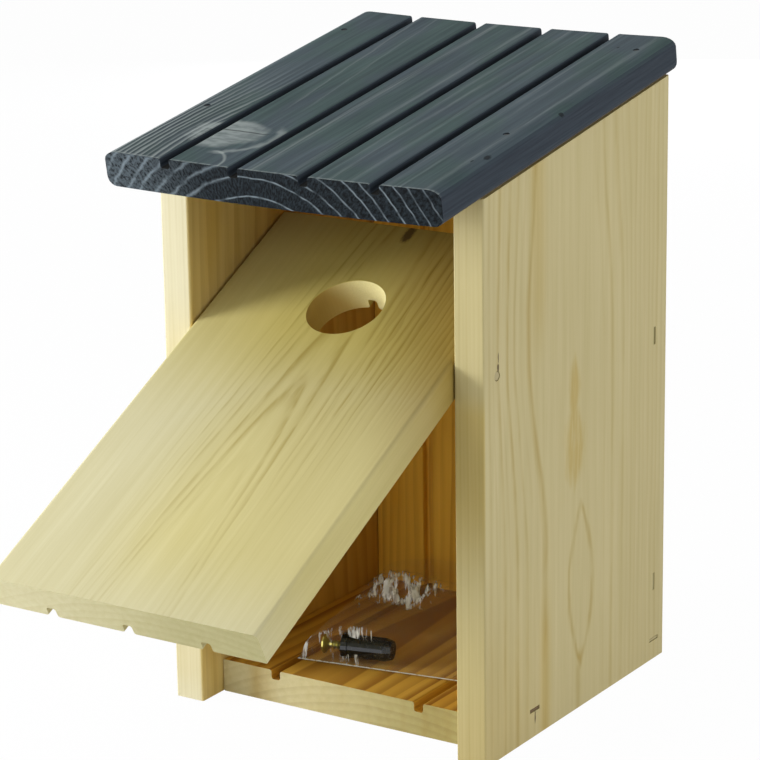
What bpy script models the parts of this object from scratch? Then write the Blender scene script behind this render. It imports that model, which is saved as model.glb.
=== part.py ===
"""Wooden bird nest box with a grooved, stained roof board and a front panel that swings out on two nails.

Metres, +Z up. The box stands on its underside, whose centre is the origin, and the front faces -Y.
The front panel is stored swung open, as it is shown. A small bag of fixings lies on the floor inside.
"""

import math

import bmesh
import bpy
from mathutils import Matrix, Vector

MM = 0.001

# Fits shared by all the pieces
clearance = 0.3 * MM
cut_overrun = 2.0 * MM

# Box: two side boards with the floor, the back and the front panel between them
inner_width = 120.4 * MM
side_thickness = 13.2 * MM
side_depth = 144.5 * MM
front_height = 222.2 * MM
side_edge_round = 0.9 * MM
board_edge_round = 0.7 * MM

# Roof board: it slopes up to the back and is slightly cupped, its long edges up
roof_slope = math.radians(9.1)
roof_side_overhang = 1.6 * MM
roof_front_overhang = 30.1 * MM
roof_rear_overhang = 4.0 * MM
roof_thickness = 14.0 * MM
roof_cup = 1.0 * MM
roof_shoulder_width = 6.0 * MM
roof_shoulder_drop = 3.6 * MM
roof_lower_round = 4.0 * MM
roof_groove_pitch = 31.2 * MM
roof_groove_count = 4

# Grooves that are planed along the boards
groove_width = 4.2 * MM
groove_depth = 3.9 * MM
groove_floor_round = 0.9 * MM
groove_mouth_ease = 0.8 * MM

# Floor board and back board
floor_thickness = 13.7 * MM
floor_groove_offset = 34.0 * MM
back_thickness = 13.7 * MM
back_groove_offset = 34.2 * MM
hanging_hole_height = 205.0 * MM
hanging_hole_play = 1.2 * MM

# Front panel: it turns on two nails and closes flush with the side boards
panel_thickness = 13.7 * MM
panel_length = 216.2 * MM
panel_side_gap = 0.5 * MM
panel_recess = 0.2 * MM
panel_bottom_gap = 2.3 * MM
panel_front_round = 2.0 * MM
panel_groove_offset = 34.4 * MM
open_angle = math.radians(63.0)
pivot_height = 153.4 * MM
pivot_setback = 9.2 * MM
entrance_diameter = 32.0 * MM
entrance_height = 166.6 * MM

# Pivot nails
pivot_shank_diameter = 2.2 * MM
pivot_head_diameter = 3.4 * MM
pivot_head_thickness = 0.9 * MM
pivot_nail_length = 30.0 * MM
pivot_tip_length = 3.0 * MM
pivot_head_sink = 0.2 * MM

# Roof nails, each driven square to the roof into the top of a side board
roof_shank_diameter = 1.2 * MM
roof_head_diameter = 2.2 * MM
roof_head_thickness = 0.7 * MM
roof_nail_length = 34.0 * MM
roof_tip_length = 2.4 * MM
roof_head_sink = 0.3 * MM
left_front_nail_setback = 26.2 * MM
left_rear_nail_inset = 20.5 * MM
right_front_nail_setback = 30.0 * MM
right_rear_nail_inset = 13.5 * MM

# Staples that hold the side boards to the back and the floor
staple_crown = 6.8 * MM
staple_wire = 1.0 * MM
staple_leg = 22.0 * MM
staple_point = 1.6 * MM
staple_sink = 0.2 * MM
lower_back_staple_inset = 9.1 * MM
lower_back_staple_height = 34.2 * MM
upper_back_staple_inset = 10.3 * MM
upper_back_staple_height = 140.0 * MM
front_floor_staple_setback = 37.0 * MM
front_floor_staple_height = 11.2 * MM
rear_floor_staple_inset = 8.6 * MM
rear_floor_staple_height = 8.7 * MM

# Wall plug and hanging screw, side by side with the screw's point in the plug
plug_diameter = 9.6 * MM
plug_length = 21.0 * MM
plug_collar_diameter = 10.6 * MM
plug_collar_length = 2.6 * MM
plug_tip_diameter = 7.8 * MM
plug_tip_length = 3.0 * MM
plug_bore_diameter = 5.0 * MM
plug_bore_depth = 16.4 * MM
plug_slot_width = 1.0 * MM
plug_slot_length = 13.0 * MM
plug_bag_inset = 26.4 * MM
plug_setback = 41.0 * MM
plug_skew = math.radians(14.0)
screw_diameter = 4.2 * MM
screw_core_diameter = 3.0 * MM
screw_thread_pitch = 1.8 * MM
screw_thread_length = 18.0 * MM
screw_point_length = 3.4 * MM
screw_head_diameter = 8.2 * MM
screw_head_length = 2.6 * MM
screw_head_rim = 0.6 * MM
screw_recess_diameter = 3.0 * MM
screw_recess_depth = 1.6 * MM
screw_insertion = 15.6 * MM

# Clear film bag: closed by a seam in front and open at its mouth, by the back board
film_thickness = 0.5 * MM
bag_front_left_inset = 27.2 * MM
bag_front_left_setback = 28.0 * MM
bag_front_right_inset = 4.2 * MM
bag_front_right_setback = 43.0 * MM
bag_rear_left_inset = 4.2 * MM
bag_rear_right_inset = 3.2 * MM
bag_rear_gap = 1.6 * MM
bag_seam_height = 1.8 * MM
bag_seam_rise = 5.5 * MM
bag_pillow_height = 12.6 * MM
bag_mouth_height = 9.5 * MM
bag_bulge_height = 15.4 * MM
bag_bulge_reach = 17.0 * MM
bag_bulge_length = 34.0 * MM
bag_edge_fullness = 0.25
bag_row_crowding = 1.6

# Numbers of facets
arc_steps = 5
cup_steps = 12
groove_arc_steps = 2
entrance_sides = 56
hanging_hole_sides = 20
nail_sides = 12
plug_sides = 20
screw_sides = 12
bag_rows = 13
bag_top_points = 21
bag_bottom_points = 5

# Places that follow from the sizes above
outer_width = inner_width + 2 * side_thickness
roof_width = outer_width + 2 * roof_side_overhang
roof_length = roof_front_overhang + side_depth / math.cos(roof_slope) + roof_rear_overhang
front_y = -side_depth / 2
back_y = side_depth / 2
seat_gap = clearance / math.cos(roof_slope)
panel_width = inner_width - 2 * panel_side_gap
board_width = inner_width - 2 * clearance
floor_front_y = front_y + panel_recess + panel_thickness + clearance
back_front_y = back_y - back_thickness
nail_line_x = outer_width / 2 - side_thickness / 2
bag_front_left_x = bag_front_left_inset - inner_width / 2
bag_front_right_x = inner_width / 2 - bag_front_right_inset
bag_rear_left_x = bag_rear_left_inset - inner_width / 2
bag_rear_right_x = inner_width / 2 - bag_rear_right_inset
plug_centre_x = bag_front_left_x + plug_bag_inset
slope_direction = Vector((0, math.cos(roof_slope), math.sin(roof_slope)))
slope_normal = Vector((0, -math.sin(roof_slope), math.cos(roof_slope)))
roof_origin = Vector((0, front_y, front_height)) - roof_front_overhang * slope_direction


def cup_rise(x):
    """How far the cup lifts the roof board off a flat one. It is level over the side boards' inner faces."""
    edge_share = 2 * x / roof_width
    seat_share = inner_width / roof_width
    return roof_cup * (edge_share ** 2 - seat_share ** 2)


def roof_underside(x, y):
    """Height of the roof's underside over a place on the floor plan."""
    return front_height + (y - front_y) * math.tan(roof_slope) + cup_rise(x) / math.cos(roof_slope)


def clear_scene():
    for old in list(bpy.data.objects):
        bpy.data.objects.remove(old, do_unlink=True)


def plain_material(name, colour, roughness, metallic=0.0, alpha=1.0):
    """A Principled material in one colour."""
    material = bpy.data.materials.new(name)
    material.use_nodes = True
    shader = material.node_tree.nodes["Principled BSDF"]
    shader.inputs["Base Color"].default_value = (*colour, 1.0)
    shader.inputs["Roughness"].default_value = roughness
    shader.inputs["Metallic"].default_value = metallic
    shader.inputs["Alpha"].default_value = alpha
    material.diffuse_color = (*colour, alpha)
    return material


def add_object(name, mesh, material=None, matrix=None):
    """Link a new object, placed by a matrix."""
    new_object = bpy.data.objects.new(name, mesh)
    bpy.context.scene.collection.objects.link(new_object)
    if material is not None:
        mesh.materials.append(material)
    if matrix is not None:
        new_object.matrix_world = matrix
    return new_object


def finish_mesh(name, builder, smooth=False):
    """Turn a bmesh into a mesh with its faces pointing out."""
    bmesh.ops.recalc_face_normals(builder, faces=builder.faces)
    if builder.calc_volume(signed=True) < 0:
        bmesh.ops.reverse_faces(builder, faces=builder.faces)
    mesh = bpy.data.meshes.new(name)
    builder.to_mesh(mesh)
    builder.free()
    if smooth:
        mesh.shade_smooth()
        mesh.set_sharp_from_angle(angle=math.radians(35))
    return mesh


def basis(origin, along, outward):
    """Matrix whose local X runs along a direction and whose local Z points out."""
    x_axis = Vector(along).normalized()
    z_axis = Vector(outward).normalized()
    y_axis = z_axis.cross(x_axis)
    matrix = Matrix((x_axis, y_axis, z_axis)).transposed().to_4x4()
    matrix.translation = origin
    return matrix


def arc(centre, radii, start, end, steps=arc_steps):
    """Points of an elliptic arc, with both of its ends."""
    points = []
    for step in range(steps + 1):
        angle = start + (end - start) * step / steps
        points.append((centre[0] + radii[0] * math.cos(angle), centre[1] + radii[1] * math.sin(angle)))
    return points


def board_section(width, thickness, lower_round, upper_round, groove_centres=(), lower_steps=1):
    """Outline across a board, anticlockwise, with grooves in its upper face and its long edges rounded."""
    half = width / 2
    quarter = math.pi / 2
    flat = half - lower_round[0]
    outline = arc((-flat, lower_round[1]), lower_round, 2 * quarter, 3 * quarter)
    for step in range(1, lower_steps):
        outline.append((flat * (2 * step / lower_steps - 1), 0))
    outline += arc((flat, lower_round[1]), lower_round, 3 * quarter, 4 * quarter)
    outline += arc((half - upper_round[0], thickness - upper_round[1]), upper_round, 0, quarter)
    for centre in sorted(groove_centres, reverse=True):
        outline += groove_outline(centre, thickness)
    outline += arc((-half + upper_round[0], thickness - upper_round[1]), upper_round, quarter, 2 * quarter)
    return outline


def groove_outline(centre, thickness):
    """One groove with eased mouth edges and a rounded floor, from right to left."""
    half = groove_width / 2
    quarter = math.pi / 2
    ease = (groove_mouth_ease, groove_mouth_ease)
    mouth = half + groove_mouth_ease
    shoulder = thickness - groove_mouth_ease
    round_floor = (groove_floor_round, groove_floor_round)
    corner = half - groove_floor_round
    rise = thickness - groove_depth + groove_floor_round
    points = arc((centre + mouth, shoulder), ease, quarter, 2 * quarter, groove_arc_steps)
    points += arc((centre + corner, rise), round_floor, 0, -quarter, groove_arc_steps)
    points += arc((centre - corner, rise), round_floor, -quarter, -2 * quarter, groove_arc_steps)
    points += arc((centre - mouth, shoulder), ease, 0, quarter, groove_arc_steps)
    return points


def extruded_board(name, outline, place, start, end):
    """Board from an outline across it. place(a, b, along) gives a point; start and end depend on (a, b)."""
    builder = bmesh.new()
    first = [builder.verts.new(place(a, b, start(a, b))) for a, b in outline]
    last = [builder.verts.new(place(a, b, end(a, b))) for a, b in outline]
    builder.faces.new(first)
    builder.faces.new(list(reversed(last)))
    count = len(outline)
    for index in range(count):
        after = (index + 1) % count
        builder.faces.new((first[index], last[index], last[after], first[after]))
    return finish_mesh(name, builder, smooth=True)


def turned(name, profile, sides):
    """Solid of revolution about local Z. The profile's (radius, height) points start and end on the axis."""
    builder = bmesh.new()
    rings = []
    for radius, height in profile:
        if radius == 0:
            rings.append([builder.verts.new((0, 0, height))])
            continue
        ring = []
        for side in range(sides):
            angle = 2 * math.pi * side / sides
            ring.append(builder.verts.new((radius * math.cos(angle), radius * math.sin(angle), height)))
        rings.append(ring)
    for lower, upper in zip(rings, rings[1:]):
        for side in range(sides):
            after = (side + 1) % sides
            corners = [lower[side % len(lower)], lower[after % len(lower)]]
            corners += [upper[after % len(upper)], upper[side % len(upper)]]
            builder.faces.new(list(dict.fromkeys(corners)))
    return finish_mesh(name, builder, smooth=True)


def cut(target, cutter):
    """Take a cutter out of an object with a Boolean modifier."""
    cutter.hide_render = True
    cutter.display_type = 'WIRE'
    modifier = target.modifiers.new(cutter.name, 'BOOLEAN')
    modifier.operation = 'DIFFERENCE'
    modifier.solver = 'EXACT'
    modifier.object = cutter


def through_hole(name, radius, thickness, sides):
    """Round cutter that runs past both faces of a board, from its local origin up."""
    reach = thickness + 2 * cut_overrun
    profile = [(0, 0), (radius, 0), (radius, reach), (0, reach)]
    return add_object(name, turned(name, profile, sides))


def nail_profile(shank, head, head_thickness, length, tip):
    """Nail with its head's top at height 0 and its point down."""
    return [(0, -length), (shank / 2, -length + tip), (shank / 2, -head_thickness),
            (head / 2, -head_thickness), (head / 2, 0), (0, 0)]


def nail_bore_profile(shank, head, head_thickness, length):
    """What a nail's hole takes out of the wood, open above the head."""
    bore = shank / 2 + clearance
    pocket = head / 2 + clearance
    floor = -length - clearance
    return [(0, floor), (bore, floor), (bore, -head_thickness - clearance),
            (pocket, -head_thickness - clearance), (pocket, cut_overrun), (0, cut_overrun)]


def staple_outline(grow, top):
    """Staple in the plane of its crown and legs, grown by a clearance and reaching up to a height."""
    outer = staple_crown / 2 + grow
    inner = staple_crown / 2 - staple_wire - grow
    crown_floor = -staple_wire - grow
    foot = -staple_leg - grow
    rise = 0 if grow else staple_point
    return [(-outer, top), (-outer, foot + rise), (-inner, foot), (-inner, crown_floor),
            (inner, crown_floor), (inner, foot), (outer, foot + rise), (outer, top)]


def staple_mesh(name, grow, top):
    """Staple outline given the width of its wire."""
    half = staple_wire / 2 + grow
    builder = bmesh.new()
    outline = staple_outline(grow, top)
    front = [builder.verts.new((u, -half, w)) for u, w in outline]
    rear = [builder.verts.new((u, half, w)) for u, w in outline]
    builder.faces.new(front)
    builder.faces.new(list(reversed(rear)))
    for index in range(len(outline)):
        after = (index + 1) % len(outline)
        builder.faces.new((front[index], rear[index], rear[after], front[after]))
    return finish_mesh(name, builder)


def make_roof(material):
    """Cupped roof board with square-cut ends, soft shoulders and four grooves that run down the slope."""
    first = -(roof_groove_count - 1) / 2
    centres = [(first + index) * roof_groove_pitch for index in range(roof_groove_count)]
    shoulder = (roof_shoulder_width, roof_shoulder_drop)
    lower = (roof_lower_round, roof_lower_round)
    outline = board_section(roof_width, roof_thickness, lower, shoulder, centres, cup_steps)

    def place(a, b, along):
        return Vector((a, 0, 0)) + (b + cup_rise(a)) * slope_normal + along * slope_direction

    mesh = extruded_board("roof", outline, place, lambda a, b: 0, lambda a, b: roof_length)
    return add_object("roof", mesh, material, Matrix.Translation(roof_origin))


def make_side(name, direction, material):
    """Side board, its top cut to the roof's slope and cup. direction is -1 for the left, 1 for the right."""
    edge = (side_edge_round, side_edge_round)
    outline = board_section(side_depth, side_thickness, edge, edge)
    inner_face = direction * inner_width / 2

    def place(a, b, along):
        return Vector((inner_face + direction * b, a, along))

    def top(a, b):
        return roof_underside(inner_face + direction * b, a) - seat_gap

    mesh = extruded_board(name, outline, place, lambda a, b: 0, top)
    return add_object(name, mesh, material)


def make_floor(material):
    """Floor board between the sides, behind the closed panel, with two grooves in its upper face."""
    edge = (board_edge_round, board_edge_round)
    centres = (-floor_groove_offset, floor_groove_offset)
    outline = board_section(board_width, floor_thickness, edge, edge, centres)

    def place(a, b, along):
        return Vector((a, along, b))

    mesh = extruded_board("floor_board", outline, place, lambda a, b: floor_front_y, lambda a, b: back_y)
    return add_object("floor_board", mesh, material)


def make_back(material):
    """Back board on the floor board, cut straight below the roof's middle, with a hole to hang it by."""
    edge = (board_edge_round, board_edge_round)
    centres = (-back_groove_offset, 0, back_groove_offset)
    outline = board_section(board_width, back_thickness, edge, edge, centres)

    def place(a, b, along):
        return Vector((a, back_y - b, along))

    def top(a, b):
        return roof_underside(0, back_y - b) - seat_gap

    foot = floor_thickness + clearance
    mesh = extruded_board("back_board", outline, place, lambda a, b: foot, top)
    back = add_object("back_board", mesh, material)
    radius = screw_diameter / 2 + hanging_hole_play
    hole = through_hole("hanging_hole_cutter", radius, back_thickness, hanging_hole_sides)
    hole.matrix_world = basis((0, back_front_y - cut_overrun, hanging_hole_height), (1, 0, 0), (0, 1, 0))
    cut(back, hole)
    return back


def make_panel(material):
    """Front panel with the entrance hole, modelled shut round its pivot line and then swung open."""
    front_edge = (panel_front_round, panel_front_round)
    back_edge = (board_edge_round, board_edge_round)
    centres = (-panel_groove_offset, 0, panel_groove_offset)
    outline = board_section(panel_width, panel_thickness, front_edge, back_edge, centres)
    foot = panel_bottom_gap - pivot_height
    face = panel_recess - pivot_setback

    def place(a, b, along):
        return Vector((a, face + b, along))

    mesh = extruded_board("front_panel", outline, place, lambda a, b: foot, lambda a, b: foot + panel_length)
    panel = add_object("front_panel", mesh, material)
    entrance = through_hole("entrance_cutter", entrance_diameter / 2, panel_thickness, entrance_sides)
    centre = Vector((0, face - cut_overrun, foot + entrance_height))
    entrance.matrix_world = basis(centre, (1, 0, 0), (0, 1, 0))
    cut(panel, entrance)
    for side, direction in (("left", -1), ("right", 1)):
        shank = pivot_shank_diameter / 2 + clearance
        depth = pivot_nail_length - side_thickness + clearance
        profile = [(0, -depth), (shank, -depth), (shank, cut_overrun), (0, cut_overrun)]
        name = f"panel_bore_cutter_{side}"
        bore = add_object(name, turned(name, profile, nail_sides))
        bore.matrix_world = basis((direction * inner_width / 2, 0, 0), (0, 1, 0), (direction, 0, 0))
        bore.parent = panel
        cut(panel, bore)
    entrance.parent = panel
    panel.location = pivot_point(0)
    panel.rotation_euler = (-open_angle, 0, 0)
    return panel


def pivot_point(x):
    """A point on the line that the front panel turns about."""
    return Vector((x, front_y + pivot_setback, pivot_height))


def make_nail(name, matrix, sizes, sides, material):
    """Nail from its shank, head, head thickness, length and tip."""
    return add_object(name, turned(name, nail_profile(*sizes), sides), material, matrix)


def make_nail_cutter(name, matrix, sizes, sides):
    return add_object(name, turned(name, nail_bore_profile(*sizes[:4]), sides), None, matrix)


def make_pivot_nails(sides_by_name, material):
    """Two nails on one line, through the side boards into the panel's edges."""
    head_sizes = (pivot_head_diameter, pivot_head_thickness)
    sizes = (pivot_shank_diameter, *head_sizes, pivot_nail_length, pivot_tip_length)
    for side, direction in (("left", -1), ("right", 1)):
        head = pivot_point(direction * (outer_width / 2 - pivot_head_sink))
        matrix = basis(head, (0, 1, 0), (direction, 0, 0))
        make_nail(f"pivot_nail_{side}", matrix, sizes, nail_sides, material)
        cutter = make_nail_cutter(f"pivot_nail_cutter_{side}", matrix, sizes, nail_sides)
        cut(sides_by_name[side], cutter)


def make_roof_nails(roof, sides_by_name, material):
    """Four nails through the roof into the tops of the side boards."""
    head_sizes = (roof_head_diameter, roof_head_thickness)
    sizes = (roof_shank_diameter, *head_sizes, roof_nail_length, roof_tip_length)
    places = (
        ("left_front", "left", -nail_line_x, front_y + left_front_nail_setback),
        ("left_rear", "left", -nail_line_x, back_y - left_rear_nail_inset),
        ("right_front", "right", nail_line_x, front_y + right_front_nail_setback),
        ("right_rear", "right", nail_line_x, back_y - right_rear_nail_inset),
    )
    for label, side, x, y in places:
        seat = Vector((x, y, roof_underside(x, y)))
        head = seat + (roof_thickness - roof_head_sink) * slope_normal
        matrix = basis(head, (1, 0, 0), slope_normal)
        make_nail(f"roof_nail_{label}", matrix, sizes, nail_sides, material)
        cutter = make_nail_cutter(f"roof_nail_cutter_{label}", matrix, sizes, nail_sides)
        cut(roof, cutter)
        cut(sides_by_name[side], cutter)


def make_staples(sides_by_name, back, floor, material):
    """Staples through each side board: upright ones into the back, level ones into the floor."""
    upright = (0, 0, 1)
    level = (0, 1, 0)
    places = (
        ("back_lower", back, upright, back_y - lower_back_staple_inset, lower_back_staple_height),
        ("back_upper", back, upright, back_y - upper_back_staple_inset, upper_back_staple_height),
        ("floor_front", floor, level, front_y + front_floor_staple_setback, front_floor_staple_height),
        ("floor_rear", floor, level, back_y - rear_floor_staple_inset, rear_floor_staple_height),
    )
    for side, direction in (("left", -1), ("right", 1)):
        for label, board, along, y, z in places:
            crown = Vector((direction * (outer_width / 2 - staple_sink), y, z))
            matrix = basis(crown, along, (direction, 0, 0))
            name = f"staple_{side}_{label}"
            add_object(name, staple_mesh(name, 0, 0), material, matrix)
            cutter_name = f"staple_cutter_{side}_{label}"
            cutter = add_object(cutter_name, staple_mesh(cutter_name, clearance, cut_overrun), None, matrix)
            cut(sides_by_name[side], cutter)
            cut(board, cutter)


def make_wall_plug(matrix, material):
    """Slotted plug, collar at height 0 and tip down, bored for the screw."""
    body = plug_diameter / 2
    collar = plug_collar_diameter / 2
    tip = plug_tip_diameter / 2
    bore = plug_bore_diameter / 2
    profile = [
        (0, -plug_length), (tip, -plug_length), (body, -plug_length + plug_tip_length),
        (body, -plug_collar_length), (collar, -plug_collar_length), (collar, 0), (bore, 0),
        (bore, -plug_bore_depth), (0, -plug_bore_depth),
    ]
    plug = add_object("wall_plug", turned("wall_plug", profile, plug_sides), material, matrix)
    builder = bmesh.new()
    bmesh.ops.create_cube(builder, size=1)
    slot_size = (plug_collar_diameter + cut_overrun, plug_slot_width, plug_slot_length)
    bmesh.ops.scale(builder, vec=slot_size, verts=builder.verts)
    slot = add_object("plug_slot_cutter", finish_mesh("plug_slot_cutter", builder))
    slot_foot = plug_length - plug_slot_length / 2 - plug_collar_length
    slot.matrix_world = matrix @ Matrix.Translation((0, 0, -slot_foot))
    cut(plug, slot)
    return plug


def make_hanging_screw(matrix, material):
    """Screw with its head at height 0, a recess in it, a ringed thread and a point."""
    head = screw_head_diameter / 2
    core = screw_core_diameter / 2
    crest = screw_diameter / 2
    recess = screw_recess_diameter / 2
    profile = [(0, -screw_recess_depth), (recess, 0), (head, 0)]
    profile += [(head, -screw_head_rim), (core, -screw_head_length)]
    turns = int(screw_thread_length / screw_thread_pitch)
    for turn in range(turns):
        start = screw_head_length + turn * screw_thread_pitch
        profile += [(core, -start - screw_thread_pitch / 2), (crest, -start - screw_thread_pitch)]
    shank_end = screw_head_length + turns * screw_thread_pitch
    profile += [(core, -shank_end - screw_thread_pitch / 2), (0, -shank_end - screw_point_length)]
    return add_object("hanging_screw", turned("hanging_screw", profile, screw_sides), material, matrix)


def screw_total_length():
    turns = int(screw_thread_length / screw_thread_pitch)
    return screw_head_length + turns * screw_thread_pitch + screw_point_length


def make_fixings(plug_material, screw_material):
    """Plug and screw on one line, lying on the floor inside the bag."""
    along = Vector((math.cos(plug_skew), math.sin(plug_skew), 0))
    bag_floor = floor_thickness + clearance + film_thickness
    axis_height = bag_floor + clearance + plug_collar_diameter / 2
    centre = Vector((plug_centre_x, front_y + plug_setback, axis_height))
    collar_face = centre - along * plug_length / 2
    make_wall_plug(basis(collar_face, (0, 0, 1), -along), plug_material)
    screw_head_face = collar_face - along * (screw_total_length() - screw_insertion)
    make_hanging_screw(basis(screw_head_face, (0, 0, 1), -along), screw_material)


def bag_height(place, row_share):
    """Height of the upper film: a low pillow all over, with a bulge along the fixings."""
    pillow = bag_mouth_height + (bag_pillow_height - bag_mouth_height) * math.sin(math.pi * row_share)
    along = Vector((math.cos(plug_skew), math.sin(plug_skew)))
    offset = place - Vector((plug_centre_x, front_y + plug_setback))
    lengthwise = offset.dot(along) / bag_bulge_length
    crosswise = offset.cross(along) / bag_bulge_reach
    bulge = bag_bulge_height * math.exp(-lengthwise ** 4 - crosswise ** 4)
    return max(pillow, bulge)


def bag_ring(row_share, inset):
    """One closed loop round the bag, from its left edge over the upper film and back under it."""
    left_front = Vector((bag_front_left_x, front_y + bag_front_left_setback))
    right_front = Vector((bag_front_right_x, front_y + bag_front_right_setback))
    left_rear = Vector((bag_rear_left_x, back_front_y - bag_rear_gap))
    right_rear = Vector((bag_rear_right_x, back_front_y - bag_rear_gap))
    left = left_front.lerp(left_rear, row_share)
    right = right_front.lerp(right_rear, row_share)
    across = (right - left).normalized() * inset
    left += across
    right -= across
    low = floor_thickness + clearance + inset
    rise = min(1, (left_rear - left_front).length * row_share / bag_seam_rise)
    seam_share = 1 - (1 - rise) ** 2
    points = []
    for index in range(bag_top_points):
        share = index / (bag_top_points - 1)
        place = left.lerp(right, share)
        crown_share = math.sin(math.pi * share) ** bag_edge_fullness
        swell = (bag_height(place, row_share) - bag_seam_height) * crown_share * seam_share
        points.append(Vector((place.x, place.y, low - 2 * inset + bag_seam_height + swell)))
    for index in range(1, bag_bottom_points + 1):
        place = right.lerp(left, index / (bag_bottom_points + 1))
        points.append(Vector((place.x, place.y, low)))
    return points


def make_bag(material):
    """Bag of film with two skins, open at its mouth, closed at the front by the seam."""
    builder = bmesh.new()
    shares = [(row / (bag_rows - 1)) ** bag_row_crowding for row in range(bag_rows)]
    outer = [[builder.verts.new(point) for point in bag_ring(share, 0)] for share in shares]
    inner = [[builder.verts.new(point) for point in bag_ring(share, film_thickness)] for share in shares[1:]]
    for rings in (outer, inner):
        for near, far in zip(rings, rings[1:]):
            for index in range(len(near)):
                after = (index + 1) % len(near)
                builder.faces.new((near[index], near[after], far[after], far[index]))
    for index in range(len(outer[-1])):
        after = (index + 1) % len(outer[-1])
        builder.faces.new((outer[-1][index], outer[-1][after], inner[-1][after], inner[-1][index]))
    builder.faces.new(outer[0])
    builder.faces.new(inner[0])
    mesh = finish_mesh("fixings_bag", builder, smooth=True)
    return add_object("fixings_bag", mesh, material)


def build():
    clear_scene()
    stained = plain_material("roof_stain", (0.075, 0.095, 0.105), 0.55)
    side_pine = plain_material("side_pine", (0.52, 0.45, 0.26), 0.6)
    inner_pine = plain_material("inner_pine", (0.46, 0.36, 0.17), 0.6)
    panel_pine = plain_material("panel_pine", (0.68, 0.62, 0.4), 0.6)
    steel = plain_material("steel", (0.42, 0.4, 0.36), 0.4, metallic=1.0)
    plug_plastic = plain_material("plug_plastic", (0.02, 0.03, 0.03), 0.35)
    zinc = plain_material("yellow_zinc", (0.6, 0.5, 0.25), 0.35, metallic=1.0)
    film = plain_material("clear_film", (0.85, 0.85, 0.82), 0.15, alpha=0.3)
    roof = make_roof(stained)
    sides_by_name = {
        "left": make_side("left_side", -1, side_pine),
        "right": make_side("right_side", 1, side_pine),
    }
    floor = make_floor(inner_pine)
    back = make_back(inner_pine)
    make_panel(panel_pine)
    make_pivot_nails(sides_by_name, steel)
    make_roof_nails(roof, sides_by_name, steel)
    make_staples(sides_by_name, back, floor, steel)
    make_fixings(plug_plastic, zinc)
    make_bag(film)


build()
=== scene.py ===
"""Looks of the bird nest box: bare pine boards, a stained roof, steel nails and a film bag of fixings.

Metres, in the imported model's frame: +Z up, the front faces -Y, the front panel is stored swung open.
Places on a board are in millimetres: across its face from its own zero line, through it and along it.
"""

import math

import bmesh
import bpy
from mathutils import Matrix, Vector, noise


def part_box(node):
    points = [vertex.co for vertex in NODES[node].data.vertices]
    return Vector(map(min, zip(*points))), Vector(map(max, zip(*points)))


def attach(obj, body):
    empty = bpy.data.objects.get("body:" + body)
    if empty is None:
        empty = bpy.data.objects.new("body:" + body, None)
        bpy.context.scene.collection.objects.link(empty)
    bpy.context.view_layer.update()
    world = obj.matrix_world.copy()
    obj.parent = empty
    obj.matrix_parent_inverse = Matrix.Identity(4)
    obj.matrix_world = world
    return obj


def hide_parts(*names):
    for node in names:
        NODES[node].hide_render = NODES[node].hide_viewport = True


MM = 0.001

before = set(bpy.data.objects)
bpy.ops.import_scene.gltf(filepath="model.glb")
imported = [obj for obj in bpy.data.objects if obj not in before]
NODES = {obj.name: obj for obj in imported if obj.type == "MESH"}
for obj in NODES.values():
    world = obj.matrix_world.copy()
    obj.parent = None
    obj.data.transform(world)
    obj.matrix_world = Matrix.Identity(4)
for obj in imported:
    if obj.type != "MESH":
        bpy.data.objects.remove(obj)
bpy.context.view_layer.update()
X, Y, Z = Vector((1, 0, 0)), Vector((0, 1, 0)), Vector((0, 0, 1))

# A mix node's inputs for numbers and for colours, its output for colours, and a tone's reach over noise
MIX_NUMBERS, MIX_COLOURS, MIXED_COLOUR = (2, 3), (6, 7), 2
TONE_SPAN = (0.25, 0.75)


def srgb(red, green, blue):
    """Linear colour from the 0 to 255 values of a picture."""
    def linear(value):
        share = value / 255
        return share / 12.92 if share <= 0.04045 else ((share + 0.055) / 1.055) ** 2.4
    return (linear(red), linear(green), linear(blue), 1.0)


def grey(value):
    return (value, value, value, 1.0)


# The photograph's view, found from the edges of the boards
CAMERA_PLACE = Vector((0.634016, -1.005795, 0.462223))
CAMERA_AZIMUTH = 0.57616
CAMERA_ELEVATION = 0.27532
CAMERA_ROLL = 0.01478
CAMERA_LENS = 145.25
CAMERA_SENSOR = 36.0
CAMERA_CLIP = 0.05
VIEW_TURN = Matrix.Rotation(CAMERA_AZIMUTH, 3, "Z")

# Stage and light
FLOOR_REACH = 6.0
FLOOR_GAP = 0.5 * MM
FLOOR_GLOW_SHARE = 0.98
FLOOR_GREY = 0.8
WORLD_LIGHT = 0.2
SOFT_WHITE = (0.95, 0.98, 1.07)

# Lamps: place, the place that they face, width and power
LAMPS = {
    "key_left": ((-0.75, -0.45, 0.3), (-0.02, -0.05, 0.1), 0.36, 8.5),
    "key_low": ((-0.7, -1.0, 0.45), (0, -0.05, 0.1), 0.4, 0.8),
    "key_high": ((-0.4, -0.75, 0.8), (0, -0.05, 0.1), 0.4, 0.6),
    "front_low": ((-0.1, -1.2, 0.25), (0, -0.05, 0.1), 0.6, 2.7),
    "right_soft": ((1.6, -0.1, 0.5), (0, 0, 0.1), 1.0, 8.5),
    "top_soft": ((0, 0, 1.6), (0, 0, 0.1), 1.2, 5.5),
    "back_right": ((1.2, 0.7, 0.6), (0, 0, 0.1), 0.8, 1.9),
    "back_low": ((-0.7, 1.3, 0.14), (0, 0, 0.12), 0.5, 9.0),
}

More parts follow.
